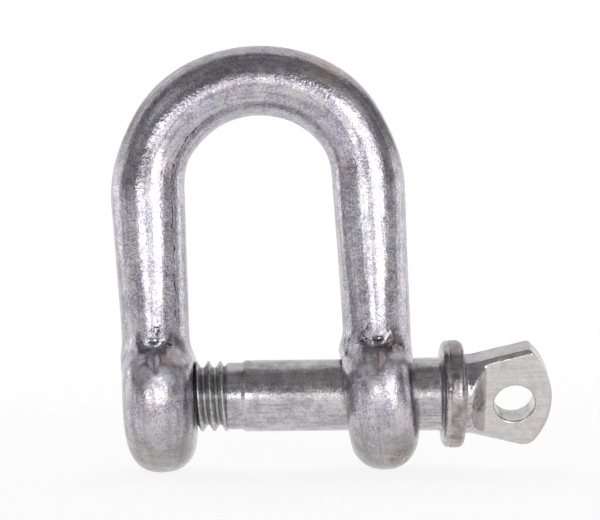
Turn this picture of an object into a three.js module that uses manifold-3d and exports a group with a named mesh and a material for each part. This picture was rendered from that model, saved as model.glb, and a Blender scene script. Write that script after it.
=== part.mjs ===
// Dee shackle with a screw pin, in millimetres: a forged bow, and a forged pin that screws into one ear.
// X runs along the pin towards its head, Z from the pin up to the crown, and Y across the bow.
// The origin is on the pin's axis, midway between the two ears.
import * as THREE from 'three';
import { mergeVertices } from 'three/addons/utils/BufferGeometryUtils.js';
import Module from 'manifold-3d';

const INCH = 25.4;

// Pin: a 3/8 inch shank, with a coarse thread of 16 turns to the inch
const PIN_RADIUS = 3 / 8 * INCH / 2;
const THREAD_PITCH = INCH / 16;
const THREAD_LENGTH = 10.95;
const THREAD_CREST_RADIUS = 4.715;
const THREAD_CREST_WIDTH = THREAD_PITCH / 8;
const THREAD_ROOT_WIDTH = THREAD_PITCH / 4;
const THREAD_FLANK_ANGLE = THREE.MathUtils.degToRad(30);
const THREAD_CLEARANCE = 0.1;
const CREST_AT_TOP = -10.02;    // X where a crest passes over the top of the pin, in the bow's frame
const TIP_CHAMFER = 0.8;
const UNDERCUT_RADIUS = 4.45;
const UNDERCUT_LENGTH = 1.9;
const UNDERCUT_CONE = 0.4;

// Bow
const JAW_WIDTH = 19.9;
const EAR_THICKNESS = 9.75;
const EAR_RADIUS = 9.95;
const EAR_FLAT_RADIUS = 6.0;
const EAR_RIM_POWER = 2.1;      // the rim's section is a superellipse of this power
const SPOT_FACE_RADIUS = 6.6;   // in the jaw, the legs are cut back to the ears' faces this far out
const CLEAR_BORE_RADIUS = 5.1;
const COUNTERSINK_RADIUS = 5.1;    // at both mouths of the threaded bore
const COUNTERSINK_DEPTH = 1.1;
const CROWN_HEIGHT = 27.2;      // centre of the crown's arc above the pin's axis
const CROWN_RADIUS = 14.8;      // of the bar's centreline
const BOW_LEAN = THREE.MathUtils.degToRad(2.6);    // both legs lean towards the threaded ear
const BOW_SHIFT = -0.28;        // X where the bow's middle line meets the pin's axis
const BAR_RADIUS_APEX = 4.65;
const BAR_RADIUS_SHOULDER = 4.88;
const BAR_RADIUS_NECK = 4.55;

// Collar and head
const UNSCREWED = 2.95;         // gap between the collar and the plain ear at rest
const COLLAR_RADIUS = 7.17;
const COLLAR_THICKNESS = 2.9;
const COLLAR_ROUND = 0.85;
const COLLAR_GAP = 0.2;
const NECK_RADIUS = 5.25;
const NECK_END = 4.0;           // from the collar's face, where the head starts to flare
const CHEEK_START = 3.5;        // from the collar's face, where the head starts to thin down
const FLAT_START = 5.95;        // from the collar's face, where the head is down to its flat thickness
const HEAD_WIDTH = 14.2;
const HEAD_THICKNESS = 3.3;
const HEAD_TIP = 14.65;         // from the collar's face
const TIP_ARC_RADIUS = 10.55;
const TIP_ARC_OFFSET = -0.33;   // across the head, off the pin's axis
const EYE_RADIUS = 2.8;
const EYE_FROM_COLLAR = 9.7;
const EYE_OFFSET = -0.76;       // across the head, off the pin's axis
const HEAD_TURN = THREE.MathUtils.degToRad(26);

// Worked out from the dimensions above
const EAR_CENTRE = (JAW_WIDTH + EAR_THICKNESS) / 2;
const PIN_X = JAW_WIDTH / 2 + EAR_THICKNESS + UNSCREWED;
const TIP = -(JAW_WIDTH + 2 * EAR_THICKNESS);    // from the collar's face, so it comes flush when home
const FLANK_WIDTH = (THREAD_PITCH - THREAD_CREST_WIDTH - THREAD_ROOT_WIDTH) / 2;
const THREAD_DEPTH = FLANK_WIDTH / Math.tan(THREAD_FLANK_ANGLE);

// Fineness
const ROUND_SEGMENTS = 36;
const BAR_SEGMENTS = 24;
const BAR_STEPS = 34;
const THREAD_SEGMENTS = 20;     // to a turn
const RIM_SEGMENTS = 4;
const PAST = 1;                 // how far a cutter runs past what it cuts

const wasm = await Module();
wasm.setup();

function solid(geometry) {
  geometry.deleteAttribute('normal');
  geometry.deleteAttribute('uv');
  const merged = mergeVertices(geometry, 1e-4);
  const corners = merged.index.array;
  const triangles = [];
  for (let i = 0; i < corners.length; i += 3) {
    const [a, b, c] = corners.slice(i, i + 3);
    if (a !== b && b !== c && c !== a) triangles.push(a, b, c);
  }
  const vertProperties = new Float32Array(merged.attributes.position.array);
  const triVerts = new Uint32Array(triangles);
  return new wasm.Manifold(new wasm.Mesh({ numProp: 3, vertProperties, triVerts }));
}

function toGeometry(manifold) {
  const { vertProperties, triVerts } = manifold.getMesh();
  const geometry = new THREE.BufferGeometry();
  geometry.setAttribute('position', new THREE.BufferAttribute(vertProperties, 3));
  geometry.setIndex(new THREE.BufferAttribute(triVerts, 1));
  geometry.computeVertexNormals();
  return geometry;
}

// A solid of revolution about X, from [x, radius] points that start and end on the axis
function turned(points, segments = ROUND_SEGMENTS) {
  const profile = points.map(([x, radius]) => new THREE.Vector2(radius, x));
  const geometry = new THREE.LatheGeometry(profile, segments);
  geometry.rotateZ(-Math.PI / 2);
  return solid(geometry);
}

function rod(from, to, radius, segments = ROUND_SEGMENTS) {
  return turned([[from, 0], [from, radius], [to, radius], [to, 0]], segments);
}

// How far round from the top a thread's crest is at x
function threadAngle(x, crestAtTop) {
  return 2 * Math.PI * (x - crestAtTop) / THREAD_PITCH;
}

// A line along X whose frames turn once in each pitch, so a section swept along it makes a right-hand thread
class ScrewLine extends THREE.LineCurve3 {
  constructor(from, to, crestAtTop) {
    super(new THREE.Vector3(from, 0, 0), new THREE.Vector3(to, 0, 0));
    this.crestAtTop = crestAtTop;
  }

  computeFrenetFrames(segments) {
    const frames = { tangents: [], normals: [], binormals: [] };
    for (const point of this.getSpacedPoints(segments)) {
      const angle = threadAngle(point.x, this.crestAtTop);
      frames.tangents.push(new THREE.Vector3(1, 0, 0));
      frames.normals.push(new THREE.Vector3(0, -Math.sin(angle), Math.cos(angle)));
      frames.binormals.push(new THREE.Vector3(-1, 0, 0));
    }
    return frames;
  }
}

// The thread's ridge and core as one solid, grown by a clearance when it is to cut the mating thread
function threadedRod(from, to, crestAtTop, clearance = 0) {
  const core = THREAD_CREST_RADIUS - THREAD_DEPTH + clearance;
  const crest = THREAD_CREST_RADIUS + clearance;
  const buried = 0.1;
  const grown = clearance / Math.cos(THREAD_FLANK_ANGLE);
  const crestHalf = THREAD_CREST_WIDTH / 2 + grown / 2;
  const baseHalf = crestHalf + FLANK_WIDTH + buried * Math.tan(THREAD_FLANK_ANGLE) + grown / 2;
  const section = new THREE.Shape([
    new THREE.Vector2(core - buried, -baseHalf),
    new THREE.Vector2(crest, -crestHalf),
    new THREE.Vector2(crest, crestHalf),
    new THREE.Vector2(core - buried, baseHalf),
  ]);
  const steps = Math.ceil((to - from) / THREAD_PITCH * THREAD_SEGMENTS);
  const end = from + steps * THREAD_PITCH / THREAD_SEGMENTS;
  const line = new ScrewLine(from, end, crestAtTop);
  const ridge = new THREE.ExtrudeGeometry(section, { steps, extrudePath: line });
  const startAngle = THREE.MathUtils.radToDeg(threadAngle(from, crestAtTop));
  return solid(ridge).add(rod(from, end, core, THREAD_SEGMENTS).rotate([startAngle, 0, 0]));
}

// The bar's centreline: up the leg of the threaded ear, round the crown and down the other leg
class BowLine extends THREE.Curve {
  constructor() {
    super();
    this.across = new THREE.Vector3(Math.cos(BOW_LEAN), 0, Math.sin(BOW_LEAN));
    this.up = new THREE.Vector3(-Math.sin(BOW_LEAN), 0, Math.cos(BOW_LEAN));
    const rise = CROWN_HEIGHT * Math.tan(BOW_LEAN);
    this.centre = new THREE.Vector3(BOW_SHIFT - rise, 0, CROWN_HEIGHT);
    const slope = CROWN_RADIUS * Math.sin(BOW_LEAN);
    this.leftLeg = (CROWN_HEIGHT - slope) / Math.cos(BOW_LEAN);
    this.rightLeg = (CROWN_HEIGHT + slope) / Math.cos(BOW_LEAN);
    this.arc = Math.PI * CROWN_RADIUS;
    this.total = this.leftLeg + this.arc + this.rightLeg;
  }

  place(sideways, upwards) {
    return this.centre.clone().addScaledVector(this.across, sideways).addScaledVector(this.up, upwards);
  }

  getPoint(t) {
    const along = t * this.total;
    if (along < this.leftLeg) return this.place(-CROWN_RADIUS, along - this.leftLeg);
    const past = along - this.leftLeg - this.arc;
    if (past > 0) return this.place(CROWN_RADIUS, -past);
    const angle = (along - this.leftLeg) / CROWN_RADIUS;
    return this.place(-CROWN_RADIUS * Math.cos(angle), CROWN_RADIUS * Math.sin(angle));
  }

  // Thinnest at the crown's apex and at the necks, thickest at the shoulders
  barRadius(t) {
    const fromApex = t * this.total - this.leftLeg - this.arc / 2;
    const quarter = this.arc / 2;
    const past = Math.abs(fromApex) - quarter;
    if (past < 0) {
      const bend = THREE.MathUtils.smoothstep(Math.abs(fromApex), 0, quarter);
      return THREE.MathUtils.lerp(BAR_RADIUS_APEX, BAR_RADIUS_SHOULDER, bend);
    }
    const leg = fromApex < 0 ? this.leftLeg : this.rightLeg;
    return THREE.MathUtils.lerp(BAR_RADIUS_SHOULDER, BAR_RADIUS_NECK, Math.min(past / (leg - EAR_RADIUS), 1));
  }
}

function bar() {
  const line = new BowLine();
  const section = new THREE.Shape().absarc(0, 0, BAR_RADIUS_SHOULDER, 0, 2 * Math.PI);
  const options = { steps: BAR_STEPS, curveSegments: BAR_SEGMENTS, extrudePath: line };
  const geometry = new THREE.ExtrudeGeometry(section, options);
  const centres = line.getSpacedPoints(BAR_STEPS);
  const position = geometry.attributes.position;
  const vertex = new THREE.Vector3();
  for (let i = 0; i < position.count; i += 1) {
    vertex.fromBufferAttribute(position, i);
    const distances = centres.map((centre) => centre.distanceToSquared(vertex));
    const nearest = distances.indexOf(Math.min(...distances));
    vertex.sub(centres[nearest]).setLength(line.barRadius(nearest / BAR_STEPS)).add(centres[nearest]);
    position.setXYZ(i, vertex.x, vertex.y, vertex.z);
  }
  return solid(geometry);
}

// A disc about X with flat faces and a strongly rounded rim
function ear(centre) {
  const half = EAR_THICKNESS / 2;
  const points = [[centre - half, 0]];
  for (let i = 0; i <= 2 * RIM_SEGMENTS; i += 1) {
    const angle = Math.PI / 2 * (i / RIM_SEGMENTS - 1);
    const power = 2 / EAR_RIM_POWER;
    const side = Math.sign(angle) * Math.abs(Math.sin(angle)) ** power;
    const out = Math.cos(angle) ** power;
    points.push([centre + half * side, EAR_FLAT_RADIUS + (EAR_RADIUS - EAR_FLAT_RADIUS) * out]);
  }
  points.push([centre + half, 0]);
  return turned(points);
}

// A cone that opens the bore's mouth at a face; way is 1 where the mouth opens towards +X, -1 towards -X
function countersink(face, way) {
  const slope = (COUNTERSINK_RADIUS - THREAD_CREST_RADIUS + THREAD_DEPTH) / COUNTERSINK_DEPTH;
  const points = [
    [face - way * COUNTERSINK_DEPTH, 0],
    [face - way * COUNTERSINK_DEPTH, COUNTERSINK_RADIUS - slope * COUNTERSINK_DEPTH],
    [face + way * PAST / 2, COUNTERSINK_RADIUS + slope * PAST / 2],
    [face + way * PAST / 2, 0],
  ];
  return turned(way > 0 ? points : points.reverse());
}

function bow() {
  const inner = JAW_WIDTH / 2;
  const outer = inner + EAR_THICKNESS;
  const thread = threadedRod(-outer - PAST, -inner + PAST, CREST_AT_TOP, THREAD_CLEARANCE);
  const mouths = countersink(-inner, 1).add(countersink(-outer, -1));
  const clearBore = rod(inner - PAST, outer + PAST, CLEAR_BORE_RADIUS);
  const spotFace = rod(-inner, inner, SPOT_FACE_RADIUS);
  const ears = ear(-EAR_CENTRE).add(ear(EAR_CENTRE));
  return bar().subtract(spotFace).add(ears).subtract(thread.add(mouths)).subtract(clearBore);
}

function collar() {
  const inner = PIN_RADIUS + COLLAR_GAP;
  const points = [[0, inner]];
  const quarterSteps = 3;
  const corners = [[COLLAR_ROUND, Math.PI], [COLLAR_THICKNESS - COLLAR_ROUND, Math.PI / 2]];
  for (const [x, start] of corners) {
    for (let i = 0; i <= quarterSteps; i += 1) {
      const angle = start - Math.PI / 2 * i / quarterSteps;
      const radius = COLLAR_RADIUS - COLLAR_ROUND + COLLAR_ROUND * Math.sin(angle);
      points.push([x + COLLAR_ROUND * Math.cos(angle), radius]);
    }
  }
  points.push([COLLAR_THICKNESS, inner], [0, inner]);
  return turned(points);
}

// The head's outline across its flat: a flare from the neck to two corners, then an arc to the tip
function headOutline() {
  const half = HEAD_WIDTH / 2;
  const toLow = Math.asin((half + TIP_ARC_OFFSET) / TIP_ARC_RADIUS);
  const toHigh = Math.asin((half - TIP_ARC_OFFSET) / TIP_ARC_RADIUS);
  const shape = new THREE.Shape();
  shape.moveTo(COLLAR_THICKNESS + COLLAR_GAP, -NECK_RADIUS);
  shape.lineTo(NECK_END, -NECK_RADIUS);
  shape.absarc(HEAD_TIP - TIP_ARC_RADIUS, TIP_ARC_OFFSET, TIP_ARC_RADIUS, -toLow, toHigh);
  shape.lineTo(NECK_END, NECK_RADIUS);
  shape.lineTo(COLLAR_THICKNESS + COLLAR_GAP, NECK_RADIUS);
  return shape;
}

// The thinning part seen edge on: two inclined cheeks, down to the flat thickness
function cheekSection() {
  const thin = HEAD_THICKNESS / 2;
  return new THREE.Shape([
    new THREE.Vector2(COLLAR_THICKNESS + COLLAR_GAP, -NECK_RADIUS),
    new THREE.Vector2(CHEEK_START, -NECK_RADIUS),
    new THREE.Vector2(FLAT_START, -thin),
    new THREE.Vector2(FLAT_START, thin),
    new THREE.Vector2(CHEEK_START, NECK_RADIUS),
    new THREE.Vector2(COLLAR_THICKNESS + COLLAR_GAP, NECK_RADIUS),
  ]);
}

// A slab of a shape in X and Y, centred on its own plane
function slab(shape, depth) {
  const geometry = new THREE.ExtrudeGeometry(shape, { depth, curveSegments: 20, bevelEnabled: false });
  geometry.translate(0, 0, -depth / 2);
  return geometry;
}

function head() {
  const plate = slab(headOutline(), HEAD_THICKNESS).rotateX(Math.PI / 2);
  const cheeks = slab(cheekSection(), 2 * NECK_RADIUS + PAST);
  const neck = rod(COLLAR_THICKNESS + COLLAR_GAP, FLAT_START + PAST, NECK_RADIUS);
  const eyeOutline = new THREE.Shape().absarc(EYE_FROM_COLLAR, EYE_OFFSET, EYE_RADIUS, 0, 2 * Math.PI);
  const eye = slab(eyeOutline, NECK_RADIUS).rotateX(Math.PI / 2);
  const body = neck.intersect(solid(cheeks)).add(solid(plate)).subtract(solid(eye));
  return body.rotate([THREE.MathUtils.radToDeg(HEAD_TURN), 0, 0]);
}

function screwPin() {
  const threadEnd = TIP + THREAD_LENGTH;
  const shankStart = threadEnd + UNDERCUT_LENGTH + UNDERCUT_CONE;
  const chamferRadius = THREAD_CREST_RADIUS - TIP_CHAMFER;
  const envelope = turned([
    [TIP, 0],
    [TIP, chamferRadius],
    [TIP + TIP_CHAMFER, THREAD_CREST_RADIUS + PAST / 2],
    [threadEnd + PAST, THREAD_CREST_RADIUS + PAST / 2],
    [threadEnd + PAST, 0],
  ]);
  const thread = threadedRod(TIP - PAST, threadEnd + PAST / 2, CREST_AT_TOP - PIN_X).intersect(envelope);
  const shank = turned([
    [threadEnd, 0],
    [threadEnd, UNDERCUT_RADIUS],
    [threadEnd + UNDERCUT_LENGTH, UNDERCUT_RADIUS],
    [shankStart, PIN_RADIUS],
    [COLLAR_THICKNESS + COLLAR_GAP + PAST, PIN_RADIUS],
    [COLLAR_THICKNESS + COLLAR_GAP + PAST, 0],
  ]);
  return thread.add(shank).add(head());
}

function piece(name, manifold, material) {
  const mesh = new THREE.Mesh(toGeometry(manifold), material);
  mesh.name = name;
  return mesh;
}

const bowZinc = new THREE.MeshStandardMaterial({ color: 0x9c999b, roughness: 0.38, metalness: 0.95 });
const pinZinc = new THREE.MeshStandardMaterial({ color: 0xa9a5a3, roughness: 0.42, metalness: 0.95 });

const shackle = new THREE.Group();
const pin = new THREE.Group();
pin.position.x = PIN_X;
pin.add(piece('pin_collar', collar(), pinZinc));
pin.add(piece('screw_pin', screwPin(), pinZinc));
shackle.add(piece('bow', bow(), bowZinc));
shackle.add(pin);

export default shackle;
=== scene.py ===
"""A dee shackle with a screw pin: the forged, zinc-plated bow and pin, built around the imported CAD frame."""

import math

import bmesh
import bpy
import numpy as np
from mathutils import Matrix, Vector


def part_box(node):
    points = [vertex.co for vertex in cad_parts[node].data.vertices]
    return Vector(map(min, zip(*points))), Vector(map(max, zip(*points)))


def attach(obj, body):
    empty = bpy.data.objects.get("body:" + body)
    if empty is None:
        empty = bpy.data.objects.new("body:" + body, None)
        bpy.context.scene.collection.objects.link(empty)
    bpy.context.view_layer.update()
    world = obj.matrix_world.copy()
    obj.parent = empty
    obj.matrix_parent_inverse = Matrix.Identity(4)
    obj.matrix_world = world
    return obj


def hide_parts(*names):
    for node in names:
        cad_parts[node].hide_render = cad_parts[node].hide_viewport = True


# Everything below is in millimetres, and meshes and lights are turned into metres as they are made.
MM = 0.001

# The bow
LEAN = math.radians(2.6)
BOW_SHIFT = -0.28
CROWN_HEIGHT = 27.2
CROWN_RADIUS = 14.8
BAR_APEX, BAR_NECK = 4.65, 4.55
BAR_SHOULDERS = (4.96, 4.86)
BAR_DEEPER_AT_NECK = 0.5
EAR_FLAT_IN, EAR_FLAT_OUT = 5.5, 4.6
SQUARENESS = 2.22
SPOT_FACE = 6.6
JAW_HALF = 9.95
CLEAR_BORE = 5.1
NIB_HEIGHT = 7.9
CROWN_FULLNESS = (0.10, 0.33)
SHOULDERS_DRAWN = 0.27
SKIN_STEP = 0.25

# The thread
PITCH = 25.4 / 16
CREST = 4.715
DEPTH = 0.8594
CREST_AT_TOP = -10.02
THREAD_LENGTH = 10.95
MOUTH_RADIUS, MOUTH_DEPTH = 5.1, 1.1

# The pin
SHANK = 3 / 8 * 25.4 / 2
UNDERCUT = 4.45
NECK = 5.25
HEAD_TURN = math.radians(26)
HEAD_HALF_WIDTH = 7.1
HEAD_HALF_THICK = 1.65
HEAD_TIP_ARC = 10.55
HEAD_STEP = 0.16

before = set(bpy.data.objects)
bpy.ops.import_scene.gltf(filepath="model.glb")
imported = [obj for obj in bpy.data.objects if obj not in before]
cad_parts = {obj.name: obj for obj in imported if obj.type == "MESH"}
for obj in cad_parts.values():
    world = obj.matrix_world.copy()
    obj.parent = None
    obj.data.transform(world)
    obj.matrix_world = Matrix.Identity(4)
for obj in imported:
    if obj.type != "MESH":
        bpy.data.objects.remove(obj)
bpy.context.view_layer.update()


def extent(node):
    """A CAD node's box, in millimetres."""
    low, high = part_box(node)
    return np.array(low) / MM, np.array(high) / MM


BOW_LOW, BOW_HIGH = extent("bow")
COLLAR_LOW, COLLAR_HIGH = extent("pin_collar")
PIN_LOW, PIN_HIGH = extent("screw_pin")
EAR_RADIUS = -BOW_LOW[2]
COLLAR_FACE, COLLAR_BACK, COLLAR_RADIUS = COLLAR_LOW[0], COLLAR_HIGH[0], COLLAR_HIGH[2]
TIP, HEAD_END = PIN_LOW[0], PIN_HIGH[0]
THREAD_END = TIP + THREAD_LENGTH


# ---------------------------------------------------------------- distances and skins


def join(a, b, round_by):
    """The union of two solids given by distances, with a fillet of about that radius."""
    h = np.clip(0.5 + 0.5 * (b - a) / round_by, 0, 1)
    return b + (a - b) * h - round_by * h * (1 - h)


def cut(a, b, round_by):
    """What solids a and b share, with a rounded edge."""
    return -join(-a, -b, round_by)


def ramp(value, start, end):
    """0 before start, 1 after end, and smooth between them."""
    t = np.clip((value - start) / (end - start), 0, 1)
    return t * t * (3 - 2 * t)


def lumps(points, cell, seed):
    """Smooth seeded unevenness, from about -1 to 1, with features about a cell across."""
    table = np.random.default_rng(seed).uniform(-1, 1, (32, 32, 32))
    grid = points / cell + 1000
    base = np.floor(grid).astype(int)
    f = grid - base
    f = f * f * (3 - 2 * f)
    total = 0
    for corner in np.ndindex(2, 2, 2):
        weight = np.prod(np.where(corner, f, 1 - f), axis=-1)
        i = (base + corner) % 32
        total = total + weight * table[i[..., 0], i[..., 1], i[..., 2]]
    return total


def skin(field, low, high, step):
    """Corners and four-sided faces of the surface where the field is zero, from a grid of that step."""
    axes = [np.arange(a - 2 * step, b + 2 * step, step) for a, b in zip(low, high)]
    grid = np.stack(np.meshgrid(*axes, indexing="ij"), axis=-1)
    values = field(grid)
    inside = values < 0
    cells = tuple(n - 1 for n in values.shape)
    count = np.zeros(cells, np.int8)
    for corner in np.ndindex(2, 2, 2):
        count += inside[tuple(slice(c, c + n) for c, n in zip(corner, cells))]
    crossed = np.argwhere((count > 0) & (count < 8))
    number = np.full(cells, -1)
    number[tuple(crossed.T)] = np.arange(len(crossed))
    points = crossing_means(values, grid, crossed)
    return settle(field, points, step), skin_faces(inside, number)


def crossing_means(values, grid, crossed):
    """One point in each crossed cell: the mean of where the surface cuts the cell's edges."""
    total = np.zeros((len(crossed), 3))
    hits = np.zeros(len(crossed))
    for corner in np.ndindex(2, 2, 2):
        for axis in range(3):
            if corner[axis]:
                continue
            a = crossed + corner
            b = a + np.eye(3, dtype=int)[axis]
            va, vb = values[tuple(a.T)], values[tuple(b.T)]
            hit = (va < 0) != (vb < 0)
            t = np.where(hit, va / np.where(hit, va - vb, 1), 0)[:, None]
            place = grid[tuple(a.T)] * (1 - t) + grid[tuple(b.T)] * t
            total += np.where(hit[:, None], place, 0)
            hits += hit
    return total / hits[:, None]


def settle(field, points, step):
    """Moves points along the field's slope onto the surface."""
    e = 0.02
    for _ in range(4):
        value = field(points)
        slope = np.stack([field(points + e * axis) - value for axis in np.eye(3)], axis=-1) / e
        size = np.maximum((slope**2).sum(-1), 0.05)
        move = -(value / size)[:, None] * slope
        reach = np.linalg.norm(move, axis=-1, keepdims=True)
        points = points + move * np.minimum(1, step / np.maximum(reach, 1e-9))
    return points


def skin_faces(inside, number):
    """A face across each grid edge whose two ends lie on either side of the surface."""
    faces = []
    for axis in range(3):
        b, c = (axis + 1) % 3, (axis + 2) % 3
        here = np.moveaxis(inside, axis, 0)[:-1]
        there = np.moveaxis(inside, axis, 0)[1:]
        edges = np.argwhere(np.moveaxis(here != there, 0, axis))
        side = np.eye(3, dtype=int)
        loops = [edges - side[b] - side[c], edges - side[c], edges, edges - side[b]]
        quads = np.stack([number[tuple(loop.T)] for loop in loops], axis=-1)
        inward = inside[tuple(edges.T)]
        faces.append(np.where(inward[:, None], quads, quads[:, ::-1]))
    return np.concatenate(faces)


# ---------------------------------------------------------------- meshes


def mesh_object(name, points, faces):
    mesh = bpy.data.meshes.new(name)
    mesh.from_pydata((np.asarray(points) * MM).tolist(), [], [list(map(int, f)) for f in faces])
    mesh.validate()
    mesh.update()
    made = bpy.data.objects.new(name, mesh)
    bpy.context.scene.collection.objects.link(made)
    return made


def boolean(target, other, operation):
    """Applies a boolean to target and removes the other object."""
    modifier = target.modifiers.new("boolean", "BOOLEAN")
    modifier.operation = operation
    modifier.object = other
    modifier.solver = "MANIFOLD"
    depsgraph = bpy.context.evaluated_depsgraph_get()
    mesh = bpy.data.meshes.new_from_object(target.evaluated_get(depsgraph))
    target.modifiers.clear()
    target.data = mesh
    bpy.data.objects.remove(other)
    return target


def turned(name, profile, segments=128):
    """A closed solid of revolution about X, from (x, radius) points; its ends are closed on the axis."""
    rings = []
    for x, radius in profile:
        angles = np.arange(segments) * 2 * math.pi / segments
        rings.append(np.stack([np.full(segments, x), -radius * np.sin(angles), radius * np.cos(angles)], -1))
    points = np.concatenate(rings + [[[profile[0][0], 0, 0], [profile[-1][0], 0, 0]]])
    faces = []
    first, last = len(points) - 2, len(points) - 1
    for j in range(segments):
        k = (j + 1) % segments
        for i in range(len(profile) - 1):
            a, b = i * segments, (i + 1) * segments
            faces.append((a + j, a + k, b + k, b + j))
        end = (len(profile) - 1) * segments
        faces.append((first, k, j))
        faces.append((last, end + j, end + k))
    made = mesh_object(name, points, faces)
    face_outward(made)
    return made


def face_outward(made):
    work = bmesh.new()
    work.from_mesh(made.data)
    bmesh.ops.recalc_face_normals(work, faces=work.faces)
    work.to_mesh(made.data)
    work.free()


def smooth(made, angle):
    """Smooth shading, with edges sharper than the angle kept crisp."""
    made.data.shade_smooth()
    made.data.set_sharp_from_angle(angle=math.radians(angle))


def thread_profile(clearance):
    """(distance along the axis, radius) over one pitch, from a crest's middle, with rounded corners."""
    crest, root = CREST + clearance, CREST - DEPTH + clearance
    half_crest = PITCH / 16 + clearance / 2
    half_root = PITCH / 8 - clearance / 2
    soft = 0.05
    half = [
        (0, crest),
        (half_crest - soft, crest),
        (half_crest + soft / 2, crest - soft),
        (PITCH / 2 - half_root - soft, root + soft * 1.7),
        (PITCH / 2 - half_root + soft, root),
    ]
    return half + [(PITCH / 2, root)] + [(PITCH - x, r) for x, r in reversed(half[1:])]


def threaded_rod(name, start, end, clearance, segments=96):
    """A closed right-hand threaded rod: each column of points is further along the axis than the last."""
    profile = thread_profile(clearance)[:-1]
    first = CREST_AT_TOP + PITCH * (math.floor((start - CREST_AT_TOP) / PITCH) - 1)
    pitches = math.ceil((end - first) / PITCH) + 1
    rows = np.array([(first + n * PITCH + x, r) for n in range(pitches) for x, r in profile])
    count = len(rows)
    columns = []
    for j in range(segments + 1):
        angle = 2 * math.pi * j / segments
        around = np.stack([-rows[:, 1] * math.sin(angle), rows[:, 1] * math.cos(angle)], -1)
        columns.append(np.column_stack([rows[:, 0] + PITCH * j / segments, around]))
    faces = []
    for a in range(0, segments * count, count):
        faces += [(a + i, a + count + i, a + count + i + 1, a + i + 1) for i in range(count - 1)]
    made = mesh_object(name, np.concatenate(columns), faces)
    close_ends(made, rows[0, 0] * MM, (rows[-1, 0] + PITCH) * MM)
    return made


def close_ends(made, low, high):
    """Joins a tube's seam and closes both its ends to points on the axis."""
    work = bmesh.new()
    work.from_mesh(made.data)
    bmesh.ops.remove_doubles(work, verts=work.verts, dist=1e-7)
    open_edges = [edge for edge in work.edges if edge.is_boundary]
    for x in (low, high):
        centre = work.verts.new((x, 0, 0))
        for edge in open_edges:
            if (edge.verts[0].co.x < (low + high) / 2) == (x == low):
                work.faces.new((*edge.verts, centre))
    bmesh.ops.recalc_face_normals(work, faces=work.faces)
    work.to_mesh(made.data)
    work.free()


# ---------------------------------------------------------------- the bow


class Ear:
    """One ear: a leaning disc with flat faces and a full rim, and the groove below the nib of its leg.

    powers are how square the rim's section is in front and at the foot;
    ridge is how far its front is off centre;
    groove is where the groove ends, across, and how far below the nib.
    """

    def __init__(self, centre, half, lean, powers, ridge, flats, nib, groove):
        self.centre = centre
        self.half = half
        self.lean = math.radians(lean)
        self.powers = powers
        self.ridge = ridge
        self.flats = flats
        self.nib = nib
        self.groove_foot, self.groove_length = groove

    def local(self, p):
        """Distances along the ear's own axis, out from it, and up."""
        dx = p[..., 0] - self.centre
        along = dx * math.cos(self.lean) + p[..., 2] * math.sin(self.lean)
        up = p[..., 2] * math.cos(self.lean) - dx * math.sin(self.lean)
        out = (np.abs(p[..., 1]) ** SQUARENESS + np.abs(up) ** SQUARENESS) ** (1 / SQUARENESS)
        return along, out, up

    def disc(self, p):
        """The flat may be wider on one face than the other, and the rim is a little lower by the neck."""
        along, out, up = self.local(p)
        at_front = ramp(up / out, -0.85, -0.25)
        along = along + self.ridge * at_front * np.maximum(1 - (along / self.half) ** 2, 0)
        low, high = self.flats
        flat = low + (high - low) * ramp(along, -self.half, self.half)
        reach = (EAR_RADIUS + 0.05) * (1 - 0.2 * ramp(up / out, 0.45, 0.9))
        rim = np.maximum(out - flat, 0) / (reach - flat)
        half = self.half * (1 - 0.06 * ramp(up, 4, 8) - 0.035 * ramp(-up, 2, 6))
        power = self.powers[1] + (self.powers[0] - self.powers[1]) * at_front
        level = (np.abs(along) / half) ** power + rim**power
        return (level ** (1 / power) - 1) * half

    def groove(self, p):
        """A hollow that opens under the nib's sharp ledge and runs out down the middle of the rim."""
        down = np.clip((NIB_HEIGHT - p[..., 2]) / self.groove_length, 0, 1.2)
        middle = self.nib + (self.groove_foot - self.nib) * down
        aside = (p[..., 0] - middle) / (1.15 - 0.6 * down)
        floor = 4.0 + 6.0 * down + 1.2 * aside**2
        return cut(floor - np.abs(p[..., 1]), p[..., 2] - NIB_HEIGHT, 0.1)


EARS = (
    Ear(-14.84, 4.72, 1.8, (1.85, 2.35), 0.5, (EAR_FLAT_OUT, EAR_FLAT_IN), -15.5, (-14.8, 4.4)),
    Ear(14.48, 4.78, 5.5, (2.0, 2.15), -0.4, (EAR_FLAT_IN, EAR_FLAT_OUT), 14.0, (13.9, 4.6)),
)


def bar(p):
    """The bar, bent to a U: thinnest at the apex and necks, and deeper and more ridged towards the necks."""
    dx = p[..., 0] - BOW_SHIFT + CROWN_HEIGHT * math.tan(LEAN)
    dz = p[..., 2] - CROWN_HEIGHT
    across = dx * math.cos(LEAN) + dz * math.sin(LEAN)
    up = dz * math.cos(LEAN) - dx * math.sin(LEAN)
    off = np.where(up > 0, np.hypot(across, up), np.abs(across)) - CROWN_RADIUS
    from_apex = np.arctan2(np.abs(across), np.maximum(up, 0))
    fullness = np.where(across < 0, *CROWN_FULLNESS)
    off = off - fullness * np.sin(2 * from_apex) ** 2 - 0.16 * np.cos(from_apex) ** 2
    bend = ramp(from_apex, 0, math.pi / 2)
    down = np.clip(-up / (CROWN_HEIGHT - EAR_RADIUS), 0, 1)
    shoulder = np.where(across < 0, *BAR_SHOULDERS)
    wide = BAR_APEX + (shoulder - BAR_APEX) * bend + (BAR_NECK - shoulder) * down
    wide = wide - SHOULDERS_DRAWN * np.exp(-(((from_apex - 1.13) / 0.28) ** 2))
    deep = wide + BAR_DEEPER_AT_NECK * down**2
    ridged = 2 - 0.28 * down**2
    level = np.abs(off / wide) ** ridged + np.abs(p[..., 1] / deep) ** ridged
    return (level ** (1 / ridged) - 1) * wide


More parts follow.
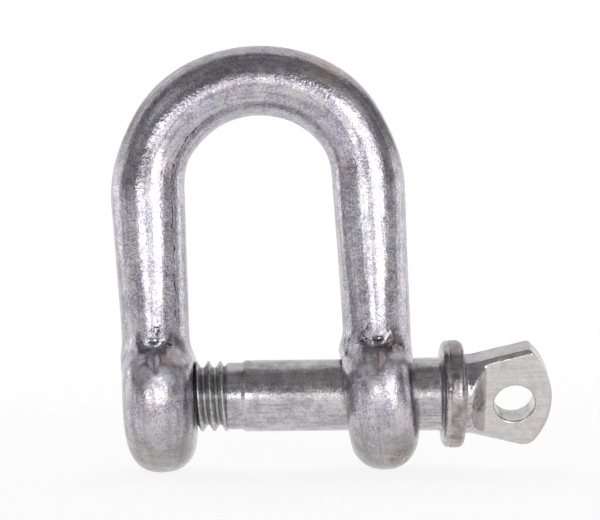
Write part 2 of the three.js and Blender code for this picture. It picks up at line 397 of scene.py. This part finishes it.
def bow_shape(p):
    """The whole bow without its bores."""
    legs = cut(bar(p), 0.5 - p[..., 2], 0.5)
    solid = legs
    for centre, radii in LIPS:
        solid = join(solid, lip(p, centre, radii), 1.2)
    for ear in EARS:
        beside = np.abs(p[..., 0] - ear.nib)
        flank = np.abs(p[..., 0] - ear.centre)
        blend = 0.3 + 2.7 * ramp(beside, 0.7, 2.0) * ramp(-flank, -4.9, -2.8)
        solid = join(solid, ear.disc(p), blend)
    for ear in EARS:
        below = NIB_HEIGHT - p[..., 2]
        solid = cut(solid, -ear.groove(p), 0.15 + 0.55 * ramp(below, 0.4, 2.5))
    threaded = p[..., 0] < 0
    spot = np.hypot(p[..., 1], p[..., 2]) - np.where(threaded, SPOT_FACE, SPOT_FACE - 0.9)
    jaw = np.abs(p[..., 0]) - np.where(threaded, JAW_HALF, JAW_HALF + 0.4)
    return cut(solid, -cut(spot, jaw, 0.1), 0.15)


LIPS = (
    ((10.0, 0.0, 5.5), (0.95, 4.4, 1.7)),
    ((-19.4, 0.0, 3.9), (0.7, 3.8, 2.0)),
)


def lip(p, centre, radii):
    """Where a leg swells into its ear: into the jaw above the spot face, or outwards."""
    return np.linalg.norm((p - np.array(centre)) / np.array(radii), axis=-1) - 1


def bow_field(p):
    """The bow with the unevenness that forging leaves, and pits by its necks."""
    return bow_shape(p) + 0.05 * lumps(p, 6.0, 3) + 0.008 * lumps(p, 1.4, 5) + pitting(p)


PIT_SPOTS = (
    ((-14.9, -5.0, 9.1), 0.9),
    ((-13.1, -4.9, 7.6), 1.3),
    ((12.2, -4.6, 9.0), 1.0),
    ((12.3, -4.8, 7.5), 1.0),
    ((16.1, -5.2, 6.8), 1.3),
    ((17.9, -4.2, 5.9), 0.5),
)


def pitting(p):
    depth = 0
    for centre, radius in PIT_SPOTS:
        away = np.linalg.norm(p - np.array(centre), axis=-1)
        depth = depth + 0.14 * ramp(-away, -radius, -0.5 * radius)
    return depth * ramp(lumps(p, 0.55, 9), -0.05, 0.4)


def add_flow(made):
    """How far each corner is round the bar and along it, for the streaks that drawing and forging leave."""
    p = np.array([v.co for v in made.data.vertices]) / MM
    dx = p[:, 0] - BOW_SHIFT + CROWN_HEIGHT * math.tan(LEAN)
    dz = p[:, 2] - CROWN_HEIGHT
    across = dx * math.cos(LEAN) + dz * math.sin(LEAN)
    up = dz * math.cos(LEAN) - dx * math.sin(LEAN)
    out = np.where(up > 0, np.hypot(across, up), np.abs(across)) - CROWN_RADIUS
    angle = np.arctan2(np.abs(across), np.maximum(up, 0))
    along = np.sign(across) * (angle * CROWN_RADIUS + np.maximum(-up, 0))
    round_bar = np.stack([out, p[:, 1]]) / np.maximum(np.hypot(out, p[:, 1]), 1e-6) * BAR_SHOULDERS[0]
    flow = made.data.attributes.new("flow", "FLOAT_VECTOR", "POINT")
    flow.data.foreach_set("vector", (np.stack([round_bar[0], round_bar[1], along * 0.045], -1) * MM).ravel())


def make_bow():
    low, high = BOW_LOW - 0.6, BOW_HIGH + 0.6
    points, faces = skin(bow_shape, low, high, SKIN_STEP)
    points = settle(bow_field, points, SKIN_STEP)
    made = mesh_object("forged_bow", points, faces)
    thread = threaded_rod("thread_cutter", -22.5, -7.5, 0.1)
    boolean(made, thread, "DIFFERENCE")
    boolean(made, mouth(-JAW_HALF - 0.05, 1), "DIFFERENCE")
    boolean(made, mouth(BOW_LOW[0] + 1.45, -1), "DIFFERENCE")
    boolean(made, clear_bore(), "DIFFERENCE")
    smooth(made, 38)
    add_flow(made)
    return made


def mouth(face, way):
    """A cone that opens the threaded bore at a face."""
    root = CREST - DEPTH + 0.05
    slope = (MOUTH_RADIUS - root) / MOUTH_DEPTH
    rings = [(face - way * MOUTH_DEPTH, root), (face + way * 1.5, MOUTH_RADIUS + 1.5 * slope)]
    return turned("mouth_cutter", sorted(rings))


def clear_bore():
    """The plain bore, with a slightly broken edge at both ends."""
    inner, outer = 9.6, 19.4
    rings = [
        (inner - 2.5, CLEAR_BORE + 2.0),
        (inner, CLEAR_BORE + 0.28),
        (inner + 0.3, CLEAR_BORE + 0.04),
        (inner + 0.8, CLEAR_BORE),
        (outer - 0.8, CLEAR_BORE),
        (outer - 0.3, CLEAR_BORE + 0.04),
        (outer, CLEAR_BORE + 0.28),
        (outer + 2.5, CLEAR_BORE + 2.0),
    ]
    return turned("bore_cutter", rings)


# ---------------------------------------------------------------- the pin


def head_shape(p):
    """The collar, the neck and the flattened, flared head with its eye."""
    x = p[..., 0]
    across = p[..., 2] * math.cos(HEAD_TURN) - p[..., 1] * math.sin(HEAD_TURN)
    edge_on = p[..., 1] * math.cos(HEAD_TURN) + p[..., 2] * math.sin(HEAD_TURN)
    out = np.hypot(p[..., 1], p[..., 2])
    solid = join(plate(x, across, edge_on), neck(x, edge_on, out), 0.35)
    eye = np.hypot(x - 32.38, across + 0.76) - 2.72
    solid = cut(solid, -eye, 0.4)
    return join(solid, collar(x, out), 0.5)


def plate(x, across, edge_on):
    """The flat of the head. Its upper front edge is pressed to a bevel."""
    upper_front = ramp(across, -1.0, 1.0) * ramp(-edge_on, -0.5, 0.8)
    flat = np.abs(edge_on) - HEAD_HALF_THICK
    bevel = (head_side(x, across) + flat) * math.sqrt(0.5) + 0.38 - 0.9 * (1 - upper_front)
    solid = cut(head_outline(x, across), flat, 0.35 - 0.2 * upper_front)
    return cut(cut(solid, bevel, 0.08), 24.0 - x, 0.1)


def head_side(x, across):
    """A straight flare from the neck to two corners."""
    flare = (HEAD_HALF_WIDTH + 0.22 - NECK) / 7.6
    return (np.abs(across) - NECK - flare * (x - 26.6)) / math.hypot(1, flare)


def head_outline(x, across):
    """Across the flat: the flare, closed by an arc at the tip."""
    tip = np.hypot(x - HEAD_END + HEAD_TIP_ARC, across + 0.33) - HEAD_TIP_ARC
    return cut(head_side(x, across), tip, 0.25 + 1.0 * ramp(-across, 0, 3))


def neck(x, edge_on, out):
    """The round neck, thinned by an inclined cheek on each side where it runs into the flat."""
    start, end = 26.1, 28.6
    slope = (NECK - HEAD_HALF_THICK) / (end - start)
    cheek = (np.abs(edge_on) - NECK + slope * (x - start)) / math.hypot(1, slope)
    return cut(cut(cut(out - NECK, cheek, 0.3), 24.0 - x, 0.1), x - 30.0, 0.1)


def collar(x, out):
    """A thick disc with a full, rounded rim, and a fine step near its inner face."""
    half = (COLLAR_BACK - COLLAR_FACE) / 2
    round_by = 0.95
    dx = np.abs(x - COLLAR_FACE - half) - half + round_by
    dr = out - COLLAR_RADIUS + round_by
    disc = np.hypot(np.maximum(dx, 0), np.maximum(dr, 0)) + np.minimum(np.maximum(dx, dr), 0) - round_by
    step = np.hypot(x - COLLAR_FACE - 0.85, out - COLLAR_RADIUS - 0.02) - 0.13
    return cut(disc, -step, 0.1)


def head_field(p):
    return head_shape(p) + 0.03 * lumps(p, 3.0, 11) + 0.012 * lumps(p, 0.9, 12)


def make_pin():
    reach = COLLAR_RADIUS + 0.3
    low = np.array([COLLAR_FACE - 0.2, -reach, -reach])
    high = np.array([HEAD_END + 0.3, reach, reach])
    points, faces = skin(head_shape, low, high, HEAD_STEP)
    points = settle(head_field, points, HEAD_STEP)
    made = mesh_object("screw_pin_forged", points, faces)
    boolean(made, shank(), "UNION")
    boolean(made, pin_thread(), "UNION")
    smooth(made, 38)
    return made


def shank():
    """Undercut, plain shank, and a slightly fuller length with a fillet under the collar."""
    cone = THREAD_END + 1.9
    face = COLLAR_FACE
    profile = [(THREAD_END - 1.0, CREST - DEPTH - 0.3), (THREAD_END - 0.1, UNDERCUT - 0.1)]
    profile += [(THREAD_END, UNDERCUT), (cone - 0.1, UNDERCUT), (cone, UNDERCUT + 0.03)]
    profile += [(cone + 0.35, SHANK - 0.04), (cone + 0.5, SHANK)]
    profile += [(x, SHANK) for x in np.arange(cone + 2, face - 4.5, 1.5)]
    profile += [(face - 4.0, SHANK + 0.02), (face - 3.4, SHANK + 0.1), (face - 0.6, SHANK + 0.1)]
    for a in (0.4, 0.8, 1.2):
        profile.append((face - 0.6 + 0.6 * math.sin(a), SHANK + 0.1 + 0.6 * (1 - math.cos(a))))
    profile += [(face + 0.4, SHANK + 0.5)]
    return turned("shank", profile)


def pin_thread():
    """The thread, with a chamfered tip."""
    rod = threaded_rod("thread", TIP - 1, THREAD_END + 1.5, 0)
    end_radius = CREST - 0.85
    profile = [(TIP, end_radius - 0.15), (TIP + 0.12, end_radius), (TIP + 0.95, CREST + 0.1)]
    profile += [(THREAD_END - 0.15, CREST + 0.1), (THREAD_END + 0.3, CREST - 0.4)]
    envelope = turned("thread_envelope", profile)
    return boolean(rod, envelope, "INTERSECT")


# ---------------------------------------------------------------- materials


class Nodes:
    """Short names for the shader nodes that the zinc uses."""

    def __init__(self, name):
        self.material = bpy.data.materials.new(name)
        self.material.use_nodes = True
        self.tree = self.material.node_tree
        self.shader = self.tree.nodes["Principled BSDF"]
        self.place = self.tree.nodes.new("ShaderNodeTexCoord").outputs["Object"]

    def put(self, kind, inputs, **settings):
        node = self.tree.nodes.new(kind)
        for name, value in settings.items():
            setattr(node, name, value)
        for name, value in inputs.items():
            if isinstance(value, bpy.types.NodeSocket):
                self.tree.links.new(value, node.inputs[name])
            else:
                node.inputs[name].default_value = value
        return node

    def noise(self, size, detail=3.0, distortion=0.0, stretch=(1, 1, 1), place=None):
        """Noise whose features are about size millimetres across."""
        scaled = self.put("ShaderNodeVectorMath", {0: place or self.place, 1: stretch}, operation="MULTIPLY")
        inputs = {"Vector": scaled.outputs[0], "Scale": 1 / (size * MM), "Detail": detail}
        inputs["Distortion"] = distortion
        return self.put("ShaderNodeTexNoise", inputs).outputs["Fac"]

    def range(self, value, low, high, to_low=0.0, to_high=1.0):
        inputs = {"Value": value, "From Min": low, "From Max": high, "To Min": to_low, "To Max": to_high}
        return self.put("ShaderNodeMapRange", inputs, interpolation_type="SMOOTHSTEP").outputs["Result"]

    def math(self, operation, a, b):
        return self.put("ShaderNodeMath", {0: a, 1: b}, operation=operation).outputs[0]

    def mix(self, factor, a, b):
        node = self.put("ShaderNodeMix", {0: factor, 6: a, 7: b}, data_type="RGBA")
        return node.outputs[2]

    def spot(self, centre, radius, ragged):
        """1 inside a ragged round patch at a point in millimetres, and 0 outside it."""
        point = tuple(c * MM for c in centre)
        measure = self.put("ShaderNodeVectorMath", {0: self.place, 1: point}, operation="DISTANCE")
        away = measure.outputs["Value"]
        wobble = self.math("MULTIPLY", self.math("SUBTRACT", self.noise(0.9), 0.5), ragged * MM)
        return self.range(self.math("ADD", away, wobble), radius * MM, radius * 0.45 * MM)

    def bump(self, height, strength, distance, normal=None):
        inputs = {"Height": height, "Strength": strength, "Distance": distance * MM}
        if normal is not None:
            inputs["Normal"] = normal
        return self.put("ShaderNodeBump", inputs).outputs["Normal"]


def grey(level, red=0.0, blue=0.0):
    return (level + red, level, level + blue, 1.0)


def zinc_colour(n, cool, warm, streaks):
    """Cool and warm zinc in soft patches, with darker and paler streaks along the metal."""
    patches = n.range(n.noise(4.5, 4, 0.8), 0.38, 0.62)
    colour = n.mix(patches, cool, warm)
    colour = n.mix(n.range(n.noise(1.9, 4, 0.5), 0.4, 0.66, 0.0, 0.55), colour, grey(0.31, 0.012, 0.02))
    colour = n.mix(n.range(streaks, 0.48, 0.68, 0.0, 0.65), colour, grey(0.25, 0.0, 0.03))
    return n.mix(n.range(streaks, 0.50, 0.28, 0.0, 0.5), colour, grey(0.66, 0.012, 0.012))


def grain(n, size, amount):
    """Fine soft grains, denser in some places than in others."""
    dense = n.range(n.noise(size * 7, 3), 0.35, 0.65, 0.60, 0.44)
    grains = n.math("SUBTRACT", n.noise(size, 2), dense)
    return n.math("MULTIPLY", n.range(grains, -0.1, 0.16), amount)


def orange_peel(n, strength, normal=None):
    """The zinc's uneven skin, in three sizes."""
    peel = n.bump(n.noise(0.95, 4), strength, 0.1, normal)
    peel = n.bump(n.noise(0.42, 2), strength, 0.05, peel)
    return n.bump(n.noise(0.25, 2), strength * 1.4, 0.035, peel)


def seam(n, flow):
    """A thin ragged dark line that runs down the inside of the threaded ear's leg."""
    split = n.put("ShaderNodeSeparateXYZ", {0: flow})
    angle = n.math("ARCTAN2", split.outputs["Y"], split.outputs["X"])
    wander = n.math("SUBTRACT", n.noise(1.6, 4), 0.5)
    away = n.math("ADD", n.math("ADD", angle, 2.33), n.math("MULTIPLY", wander, 0.28))
    line = n.range(n.math("ABSOLUTE", away, 0.0), 0.05, 0.012)
    place = n.put("ShaderNodeSeparateXYZ", {0: n.place})
    line = n.math("MULTIPLY", line, n.range(place.outputs["Z"], 9.5 * MM, 12 * MM))
    line = n.math("MULTIPLY", line, n.range(place.outputs["X"], -6 * MM, -9.5 * MM))
    return n.math("MULTIPLY", line, n.range(n.noise(0.9, 3), 0.36, 0.56, 0.15, 0.95))


def bow_zinc():
    n = Nodes("bow_zinc")
    flow = n.put("ShaderNodeAttribute", {}, attribute_name="flow").outputs["Vector"]
    streaks = n.noise(0.55, 4, 0.2, place=flow)
    colour = zinc_colour(n, grey(0.57, -0.004, 0.05), grey(0.55, 0.035, 0.018), streaks)
    colour = n.mix(grain(n, 0.34, 0.45), colour, (0.64, 0.57, 0.56, 1.0))
    colour = n.mix(grain(n, 0.29, 0.55), colour, (0.18, 0.155, 0.27, 1.0))
    # Painted shade: darker colour low round the foot of each ear.
    colour = n.mix(ear_feet_painted_shade(n), colour, (0.29, 0.28, 0.25, 1.0))
    colour = n.mix(blush(n), colour, (0.60, 0.43, 0.36, 1.0))
    colour = n.mix(stain(n), colour, (0.22, 0.155, 0.12, 1.0))
    line = seam(n, flow)
    colour = n.mix(line, colour, (0.05, 0.045, 0.06, 1.0))
    pits = pitted_spots(n)
    colour = n.mix(pits, colour, (0.045, 0.035, 0.03, 1.0))
    n.tree.links.new(colour, n.shader.inputs["Base Color"])
    n.shader.inputs["Metallic"].default_value = 1.0
    rough = n.range(n.noise(1.2, 4), 0.3, 0.7, 0.15, 0.30)
    rough = n.math("ADD", rough, n.math("MULTIPLY", n.math("MAXIMUM", pits, dull_throats(n)), 0.3))
    n.tree.links.new(rough, n.shader.inputs["Roughness"])
    skin_bump = orange_peel(n, 0.42, n.bump(streaks, 0.3, 0.08))
    skin_bump = n.bump(n.math("MULTIPLY", n.math("MAXIMUM", pits, line), -1.0), 0.6, 0.12, skin_bump)
    n.tree.links.new(skin_bump, n.shader.inputs["Normal"])
    return n.material


def ear_feet_painted_shade(n):
    """Painted shade: the zinc is painted darker round the foot of each ear."""
    height = n.put("ShaderNodeSeparateXYZ", {0: n.place}).outputs["Z"]
    low = n.range(height, -1.5 * MM, -6.5 * MM, 0.0, 0.6)
    return n.math("MULTIPLY", low, n.range(n.noise(1.3, 4), 0.3, 0.65, 0.55, 1.0))


def dull_throats(n):
    """Where the zinc is dull and grainy, below the nibs of both legs."""
    left = n.spot((-14.6, -7.6, 4.2), 4.6, 2.0)
    right = n.spot((14.0, -7.6, 4.2), 4.6, 2.0)
    throats = n.math("MAXIMUM", left, right)
    return n.math("MULTIPLY", throats, n.range(n.noise(1.4, 4), 0.35, 0.65, 0.35, 0.9))


def pitted_spots(n):
    """Small black pits, close together in patches by the necks."""
    where = 0.0
    for centre, radius in PIT_SPOTS:
        where = n.math("MAXIMUM", n.spot(centre, radius, 1.2), where)
    holes = n.range(n.noise(0.42, 3, 0.5), 0.52, 0.60)
    return n.math("MULTIPLY", where, holes)


def stain(n):
    """A thin brown film round the pits, and low on the plain ear."""
    film = n.math("MULTIPLY", n.spot((-13.4, -5.0, 8.4), 2.0, 1.5), 0.5)
    film = n.math("MAXIMUM", film, n.spot((16.0, -5.2, 6.6), 2.4, 1.8))
    film = n.math("MAXIMUM", film, n.spot((17.3, -6.0, -7.6), 3.0, 1.2))
    return n.math("MULTIPLY", film, n.range(n.noise(0.55, 5), 0.36, 0.66, 0.1, 0.85))


def blush(n):
    """A faint reddish film on the crown, and below the nibs."""
    film = n.spot((7.4, -3.2, 43.4), 3.4, 3.0)
    film = n.math("MAXIMUM", film, n.spot((-13.2, -7.0, 5.0), 2.4, 2.0))
    film = n.math("MAXIMUM", film, n.spot((14.5, -7.0, 4.5), 2.4, 2.0))
    return n.math("MULTIPLY", film, n.range(n.noise(0.9, 4), 0.35, 0.65, 0.1, 0.7))


def pin_zinc():
    n = Nodes("pin_zinc")
    streaks = n.noise(0.5, 4, 0.2, stretch=(0.07, 1, 1))
    colour = zinc_colour(n, grey(0.57, 0.004, 0.016), grey(0.55, 0.032, 0.01), streaks)
    colour = n.mix(grain(n, 0.34, 0.4), colour, (0.64, 0.58, 0.55, 1.0))
    colour = n.mix(grain(n, 0.29, 0.4), colour, (0.21, 0.185, 0.23, 1.0))
    # Painted sheen: the head is painted paler than the rest of the pin.
    colour = n.mix(head_painted_sheen(n), colour, grey(0.72, 0.02, -0.01))
    colour = n.mix(head_blush(n), colour, (0.50, 0.41, 0.41, 1.0))
    # Painted shade in the thread's roots, a darker grey-green.
    colour = n.mix(thread_root_painted_shade(n), colour, (0.27, 0.29, 0.27, 1.0))
    colour = n.mix(rim_film(n), colour, (0.25, 0.195, 0.18, 1.0))
    n.tree.links.new(colour, n.shader.inputs["Base Color"])
    n.shader.inputs["Metallic"].default_value = 1.0
    rough = n.range(n.noise(1.1, 4), 0.3, 0.7, 0.18, 0.32)
    n.tree.links.new(rough, n.shader.inputs["Roughness"])
    n.tree.links.new(orange_peel(n, 0.34, n.bump(streaks, 0.2, 0.07)), n.shader.inputs["Normal"])
    return n.material


def head_painted_sheen(n):
    """Painted sheen: the head is painted paler than the rest of the pin."""
    height = n.put("ShaderNodeSeparateXYZ", {0: n.place}).outputs["X"]
    return n.range(height, (COLLAR_BACK + 1) * MM, (COLLAR_BACK + 3) * MM, 0.0, 0.55)


def head_blush(n):
    """Faint reddish patches on the head, and a browner edge at its tip."""
    split = n.put("ShaderNodeSeparateXYZ", {0: n.place})
    on_head = n.range(split.outputs["X"], (COLLAR_BACK + 1) * MM, (COLLAR_BACK + 3) * MM)
    patches = n.math("MULTIPLY", on_head, n.range(n.noise(1.1, 5, 0.4), 0.44, 0.72, 0.0, 0.5))
    flank = n.math("ABSOLUTE", split.outputs["Z"], 0.0)
    along = n.math("SUBTRACT", split.outputs["X"], (HEAD_END - HEAD_TIP_ARC) * MM)
    tip = n.put("ShaderNodeCombineXYZ", {0: along, 1: flank})
    out = n.put("ShaderNodeVectorMath", {0: tip.outputs[0]}, operation="LENGTH").outputs["Value"]
    edge = n.math("MULTIPLY", n.range(out, 10.1 * MM, 10.5 * MM), on_head)
    return n.math("MAXIMUM", n.math("MULTIPLY", edge, 0.6), patches)


def thread_root_painted_shade(n):
    """Painted shade: grey-green darkening in the roots of the thread."""
    split = n.put("ShaderNodeSeparateXYZ", {0: n.place})
    across = n.put("ShaderNodeVectorMath", {0: n.place, 1: (0, 1, 1)}, operation="MULTIPLY").outputs[0]
    out = n.put("ShaderNodeVectorMath", {0: across}, operation="LENGTH").outputs["Value"]
    deep = n.range(out, (CREST - 0.1) * MM, (CREST - DEPTH) * MM, 0.0, 0.75)
    on_thread = n.range(split.outputs["X"], (THREAD_END + 0.2) * MM, (THREAD_END - 0.3) * MM)
    return n.math("MULTIPLY", deep, on_thread)


def rim_film(n):
    """A brown film on the collar's rim, clear of its inner edge."""
    split = n.put("ShaderNodeSeparateXYZ", {0: n.place})
    across = n.put("ShaderNodeVectorMath", {0: n.place, 1: (0, 1, 1)}, operation="MULTIPLY").outputs[0]
    out = n.put("ShaderNodeVectorMath", {0: across}, operation="LENGTH").outputs["Value"]
    high = n.range(out, (COLLAR_RADIUS - 1.1) * MM, (COLLAR_RADIUS - 0.3) * MM)
    beyond = n.range(split.outputs["X"], (COLLAR_FACE + 0.7) * MM, (COLLAR_FACE + 1.0) * MM)
    before = n.range(split.outputs["X"], (COLLAR_BACK + 0.1) * MM, (COLLAR_BACK - 0.2) * MM)
    patchy = n.range(n.noise(1.5, 4, 0.5), 0.35, 0.7, 0.25, 0.85)
    film = n.math("MULTIPLY", n.math("MULTIPLY", high, beyond), n.math("MULTIPLY", before, patchy))
    return film


# ---------------------------------------------------------------- the studio


def glow(name, strength, diffuse):
    """A pale stage material that gives some light of its own, so that shadows on it stay faint."""
    material = bpy.data.materials.new(name)
    material.use_nodes = True
    shader = material.node_tree.nodes["Principled BSDF"]
    shader.inputs["Base Color"].default_value = grey(diffuse)
    shader.inputs["Roughness"].default_value = 0.9
    shader.inputs["Specular IOR Level"].default_value = 0.0
    shader.inputs["Emission Color"].default_value = grey(1.0)
    shader.inputs["Emission Strength"].default_value = strength
    return material


def sweep():
    """A floor that curves up into a wall behind."""
    floor = EAR_FOOT
    profile = [(-900.0, floor), (250.0, floor)]
    for i in range(1, 13):
        angle = math.pi / 2 * i / 12
        profile.append((250 + 120 * math.sin(angle), floor + 120 * (1 - math.cos(angle))))
    profile.append((370.0, 170.0))
    points = [(x, y, z) for y, z in profile for x in (-3000.0, 3000.0)]
    faces = [(2 * i, 2 * i + 1, 2 * i + 3, 2 * i + 2) for i in range(len(profile) - 1)]
    made = mesh_object("stage_sweep", points, faces)
    made.data.shade_smooth()
    made.data.materials.append(glow("stage_pale", 0.8, 0.3))


EAR_FOOT = BOW_LOW[2] - 0.05


def sky():
    """Dim overhead, and brighter towards the horizon."""
    world = bpy.data.worlds.new("studio")
    bpy.context.scene.world = world
    world.use_nodes = True
    tree = world.node_tree
    place = tree.nodes.new("ShaderNodeTexCoord").outputs["Generated"]
    split = tree.nodes.new("ShaderNodeSeparateXYZ")
    tree.links.new(place, split.inputs[0])
    level = tree.nodes.new("ShaderNodeMapRange")
    level.interpolation_type = "SMOOTHSTEP"
    for name, value in (("From Min", 0.0), ("From Max", 0.35), ("To Min", 0.34), ("To Max", 0.25)):
        level.inputs[name].default_value = value
    tree.links.new(split.outputs["Z"], level.inputs["Value"])
    background = tree.nodes["Background"]
    background.inputs["Color"].default_value = (1.0, 0.99, 1.0, 1.0)
    tree.links.new(level.outputs["Result"], background.inputs["Strength"])


def softbox(name, azimuth, elevation, width, height, brightness, distance=600.0):
    """A rectangular light facing the shackle; azimuth is from the camera's side, positive to the right."""
    centre = Vector((0.0, 0.0, 14.0))
    a, e = math.radians(azimuth), math.radians(elevation)
    way = Vector((math.sin(a) * math.cos(e), -math.cos(a) * math.cos(e), math.sin(e)))
    lamp = bpy.data.lights.new(name, "AREA")
    lamp.shape = "RECTANGLE"
    lamp.size, lamp.size_y = width * MM, height * MM
    lamp.energy = brightness * math.pi * lamp.size * lamp.size_y
    holder = bpy.data.objects.new(name, lamp)
    holder.location = (centre + way * distance) * MM
    holder.rotation_euler = way.to_track_quat("Z", "Y").to_euler()
    bpy.context.scene.collection.objects.link(holder)


def lights():
    softbox("soft_left", -19, -8, 275, 360, 3.2)
    softbox("soft_right", 26, -1, 380, 500, 3.0)
    softbox("between", 0, -10, 150, 330, 1.25)
    softbox("side_left", -108, 4, 400, 460, 0.8)
    softbox("side_right", 106, 2, 380, 460, 0.75)
    softbox("upper_left", -42, 33, 280, 200, 0.42)
    softbox("upper_right", 44, 31, 300, 220, 0.5)
    softbox("upper_back_left", -116, 38, 260, 260, 0.7)
    softbox("high_back", 180, 52, 900, 680, 0.6)


def camera():
    """Level with the middle of the bow, looking along +Y, and rolled a little."""
    roll = math.radians(0.594)
    lens = bpy.data.cameras.new("camera")
    lens.lens = 108
    lens.sensor_width = 36
    lens.clip_start, lens.clip_end = 0.01, 10
    holder = bpy.data.objects.new("camera", lens)
    right = Vector((math.cos(roll), 0, -math.sin(roll)))
    up = Vector((math.sin(roll), 0, math.cos(roll)))
    back = Vector((0, -1, 0))
    turn = Matrix((right, up, back)).transposed()
    holder.matrix_world = Matrix.Translation(Vector((3.97, -241.0, 18.1)) * MM) @ turn.to_4x4()
    bpy.context.scene.collection.objects.link(holder)
    bpy.context.scene.camera = holder


def build():
    bow = make_bow()
    bow.data.materials.clear()
    bow.data.materials.append(bow_zinc())
    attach(bow, "shackle_bow")
    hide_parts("bow")
    pin = make_pin()
    pin.data.materials.clear()
    pin.data.materials.append(pin_zinc())
    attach(pin, "pin")
    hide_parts("pin_collar", "screw_pin")


build()
sky()
sweep()
lights()
camera()
bpy.context.scene.view_settings.view_transform = "Standard"
